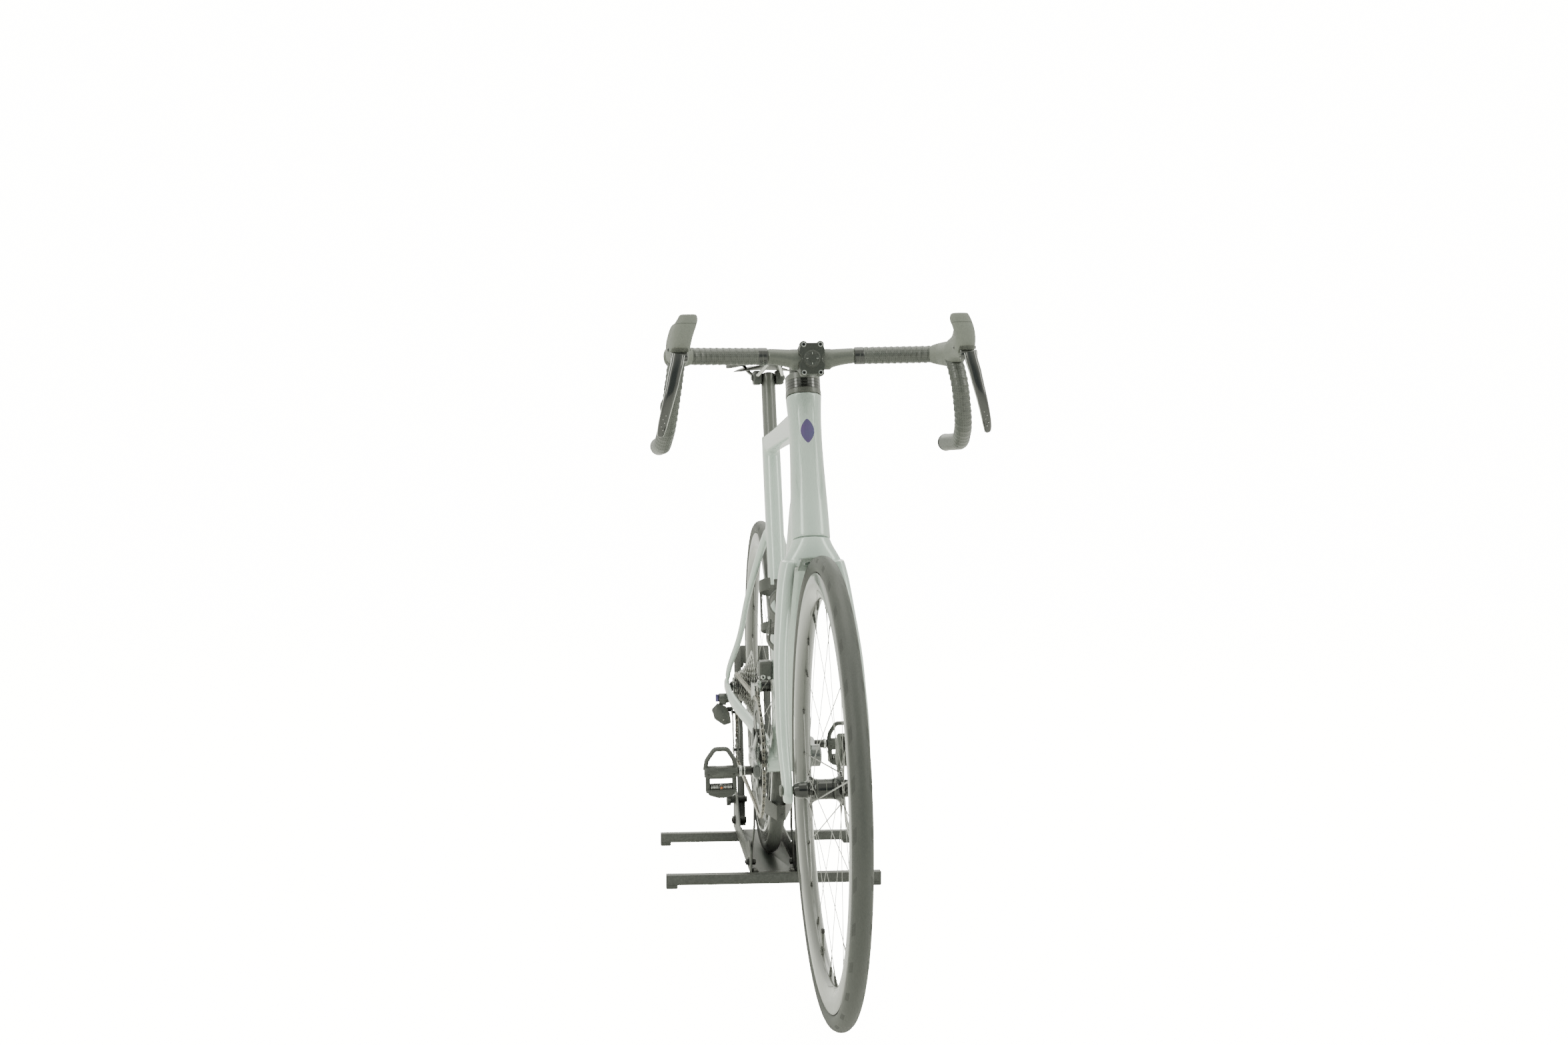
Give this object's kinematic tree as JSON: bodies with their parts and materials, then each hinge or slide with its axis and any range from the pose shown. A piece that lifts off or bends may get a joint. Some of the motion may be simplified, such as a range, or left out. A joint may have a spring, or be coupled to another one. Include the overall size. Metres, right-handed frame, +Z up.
{
  "type": "bicycle on stand",
  "caption": "Road bicycle with drop bars, disc brakes and deep rims, held upright by a low rear-wheel display stand with a tilting hoop.",
  "frame": {"origin": "centre of the bounding box in plan, on the floor under the tyre and the stand's feet", "axes": "+Z up; -Y is the way the bicycle rides; +X is its left side, away from the chain"},
  "size_m": [0.4803, 1.7259, 1.0504],
  "materials": {
    "frame_paint": "gloss pale sage paint over carbon fibre",
    "stand_powder_coat": "fine satin powder coat",
    "black_plastic": "matte",
    "black_steel": "black oxide",
    "bearing_steel": "ground",
    "tyre_rubber": "satin rubber",
    "carbon_gloss": "clear-coated carbon",
    "spoke_steel": "bladed",
    "black_anodised": "black anodised",
    "rotor_steel": "ground",
    "chain_steel": "bright",
    "crank_grey": "gloss dark grey",
    "saddle_cover": "smooth synthetic",
    "bar_tape": "glossy perforated",
    "hood_rubber": "matte moulded",
    "lever_gloss": "gloss with bright edge"
  },
  "bodies": {
    "stand": {"stand_cross_bars": "stand_powder_coat", "stand_end_caps": "black_plastic", "stand_base_channel": "stand_powder_coat", "stand_fasteners": "black_steel", "wheel_guide": "stand_powder_coat"},
    "hoop": {"hoop": "stand_powder_coat"},
    "knob_left": {"clamp_knob_left": "black_plastic"},
    "knob_right": {"clamp_knob_right": "black_plastic"},
    "frame": {"head_tube": "frame_paint", "top_tube": "frame_paint", "down_tube": "frame_paint", "seat_tube": "frame_paint", "chainstays": "frame_paint", "seatstays": "frame_paint", "frame_bearings": "bearing_steel", "bottle_cages": "black_plastic", "rear_caliper": "black_anodised", "front_derailleur": "black_plastic", "rear_axle": "bearing_steel", "rd_mount": "black_plastic", "chain": "chain_steel"},
    "seat": {"seatpost": "black_anodised", "saddle_rails": "black_steel", "saddle": "saddle_cover"},
    "steering": {"fork": "frame_paint", "headset_spacers": "black_anodised", "stem": "black_anodised", "stem_faceplate": "black_anodised", "handlebar": "black_anodised", "bar_tape": "bar_tape", "brake_hoods": "hood_rubber", "front_caliper": "black_anodised", "front_axle": "bearing_steel"},
    "front_wheel": {"front_tyre": "tyre_rubber", "front_rim": "carbon_gloss", "front_spokes": "spoke_steel", "front_hub": "black_anodised", "front_rotor": "rotor_steel"},
    "rear_wheel": {"rear_tyre": "tyre_rubber", "rear_rim": "carbon_gloss", "rear_spokes": "spoke_steel", "rear_hub": "black_anodised", "rear_rotor": "rotor_steel"},
    "cassette": {"cassette": "rotor_steel"},
    "crank": {"crank_arms": "crank_grey", "chainrings": "crank_grey", "crank_axles": "bearing_steel"},
    "pedal_right": {"pedal_right": "black_plastic"},
    "pedal_left": {"pedal_left": "black_plastic"},
    "rd_swing": {"rd_swing": "black_plastic"},
    "rd_cage": {"rd_cage": "crank_grey"},
    "guide_pulley": {"guide_pulley": "crank_grey"},
    "tension_pulley": {"tension_pulley": "crank_grey"},
    "fd_cage": {"fd_cage": "chain_steel"},
    "lever_left": {"brake_lever_left": "lever_gloss"},
    "lever_right": {"brake_lever_right": "lever_gloss"},
    "button_left_upper": {"shift_button_left_upper": "black_plastic"},
    "button_left_lower": {"shift_button_left_lower": "black_plastic"},
    "button_right_upper": {"shift_button_right_upper": "black_plastic"},
    "button_right_lower": {"shift_button_right_lower": "black_plastic"}
  },
  "joints": [
    {"name": "bike_lift", "type": "slide", "parent": "stand", "child": "frame", "axis": [0, 0, 1], "range_m": [0, 0.25]},
    {"name": "hoop_tilt", "type": "hinge", "parent": "stand", "child": "hoop", "pos_m": [0.01496, 0.69923, 0.05018], "axis": [1, 0, 0], "range_deg": [-40, 0]},
    {"name": "knob_left_turn", "type": "hinge", "parent": "hoop", "child": "knob_left", "pos_m": [0.01496, 0.71776, 0.09228], "axis": [1, 0, 0], "continuous": true},
    {"name": "knob_right_turn", "type": "hinge", "parent": "hoop", "child": "knob_right", "pos_m": [0.01496, 0.71776, 0.09228], "axis": [1, 0, 0], "continuous": true},
    {"name": "steer", "type": "hinge", "parent": "frame", "child": "steering", "pos_m": [0.00068, -0.34966, 0.80953], "axis": [-0.0236, 0.2619, 0.9648], "range_deg": [-50, 50]},
    {"name": "seat_height", "type": "slide", "parent": "frame", "child": "seat", "axis": [-0.0236, 0.2534, 0.9671], "range_m": [-0.05, 0.05]},
    {"name": "front_wheel_spin", "type": "hinge", "parent": "steering", "child": "front_wheel", "pos_m": [0.01258, -0.52403, 0.33892], "axis": [0.9997, 0.0084, 0.0221], "continuous": true},
    {"name": "rear_wheel_spin", "type": "hinge", "parent": "frame", "child": "rear_wheel", "pos_m": [0.0114, 0.48646, 0.37098], "axis": [0.9997, 0, 0.0244], "continuous": true},
    {"name": "crank_spin", "type": "hinge", "parent": "frame", "child": "crank", "pos_m": [0.01342, 0.08489, 0.28822], "axis": [0.9997, 0, 0.0244], "continuous": true, "deforming": ["chain"]},
    {"name": "cassette_spin", "type": "hinge", "parent": "frame", "child": "cassette", "pos_m": [0.0114, 0.48646, 0.37098], "axis": [0.9997, 0, 0.0244], "continuous": true},
    {"name": "pedal_right_spin", "type": "hinge", "parent": "crank", "child": "pedal_right", "pos_m": [0.01327, -0.08749, 0.29479], "axis": [0.9997, 0, 0.0244], "continuous": true},
    {"name": "pedal_left_spin", "type": "hinge", "parent": "crank", "child": "pedal_left", "pos_m": [0.01359, 0.25726, 0.28166], "axis": [0.9997, 0, 0.0244], "continuous": true},
    {"name": "rd_shift", "type": "slide", "parent": "frame", "child": "rd_swing", "axis": [0.7242, 0.0224, -0.6893], "range_m": [-0.003, 0.044]},
    {"name": "rd_cage_pivot", "type": "hinge", "parent": "rd_swing", "child": "rd_cage", "pos_m": [0.01265, 0.5141, 0.31985], "axis": [0.9997, 0, 0.0244], "range_deg": [-20, 30], "stiffness_Nm_per_rad": 1.2},
    {"name": "guide_pulley_spin", "type": "hinge", "parent": "rd_cage", "child": "guide_pulley", "pos_m": [0.0128, 0.51029, 0.31373], "axis": [0.9997, 0, 0.0244], "continuous": true},
    {"name": "tension_pulley_spin", "type": "hinge", "parent": "rd_cage", "child": "tension_pulley", "pos_m": [0.01463, 0.48965, 0.23906], "axis": [0.9997, 0, 0.0244], "continuous": true},
    {"name": "fd_shift", "type": "hinge", "parent": "frame", "child": "fd_cage", "pos_m": [-0.03079, 0.12371, 0.41948], "axis": [-0.0008, 0.9995, 0.0317], "range_deg": [-9, 0]},
    {"name": "lever_left_pull", "type": "hinge", "parent": "steering", "child": "lever_left", "pos_m": [0.20516, -0.5761, 0.96694], "axis": [0.9997, 0.0084, 0.0221], "range_deg": [0, 14], "stiffness_Nm_per_rad": 1.2, "springref_deg": -14.32},
    {"name": "lever_right_pull", "type": "hinge", "parent": "steering", "child": "lever_right", "pos_m": [-0.20672, -0.57957, 0.95782], "axis": [0.9997, 0.0084, 0.0221], "range_deg": [0, 14], "stiffness_Nm_per_rad": 1.2, "springref_deg": -14.32},
    {"name": "button_left_upper_press", "type": "slide", "parent": "lever_left", "child": "button_left_upper", "axis": [-0.9997, -0.0084, -0.0221], "range_m": [0, 0.003], "stiffness_N_per_m": 400, "springref_m": -0.0015},
    {"name": "button_left_lower_press", "type": "slide", "parent": "lever_left", "child": "button_left_lower", "axis": [-0.9997, -0.0084, -0.0221], "range_m": [0, 0.003], "stiffness_N_per_m": 400, "springref_m": -0.0015},
    {"name": "button_right_upper_press", "type": "slide", "parent": "lever_right", "child": "button_right_upper", "axis": [0.9997, 0.0084, 0.0221], "range_m": [0, 0.003], "stiffness_N_per_m": 400, "springref_m": -0.0015},
    {"name": "button_right_lower_press", "type": "slide", "parent": "lever_right", "child": "button_right_lower", "axis": [0.9997, 0.0084, 0.0221], "range_m": [0, 0.003], "stiffness_N_per_m": 400, "springref_m": -0.0015}
  ],
  "couplings": [
    {"joint": "cassette_spin", "follows": "crank_spin", "ratio": 4.3333},
    {"joint": "guide_pulley_spin", "follows": "crank_spin", "ratio": -4.3333},
    {"joint": "tension_pulley_spin", "follows": "crank_spin", "ratio": 4.3333}
  ]
}
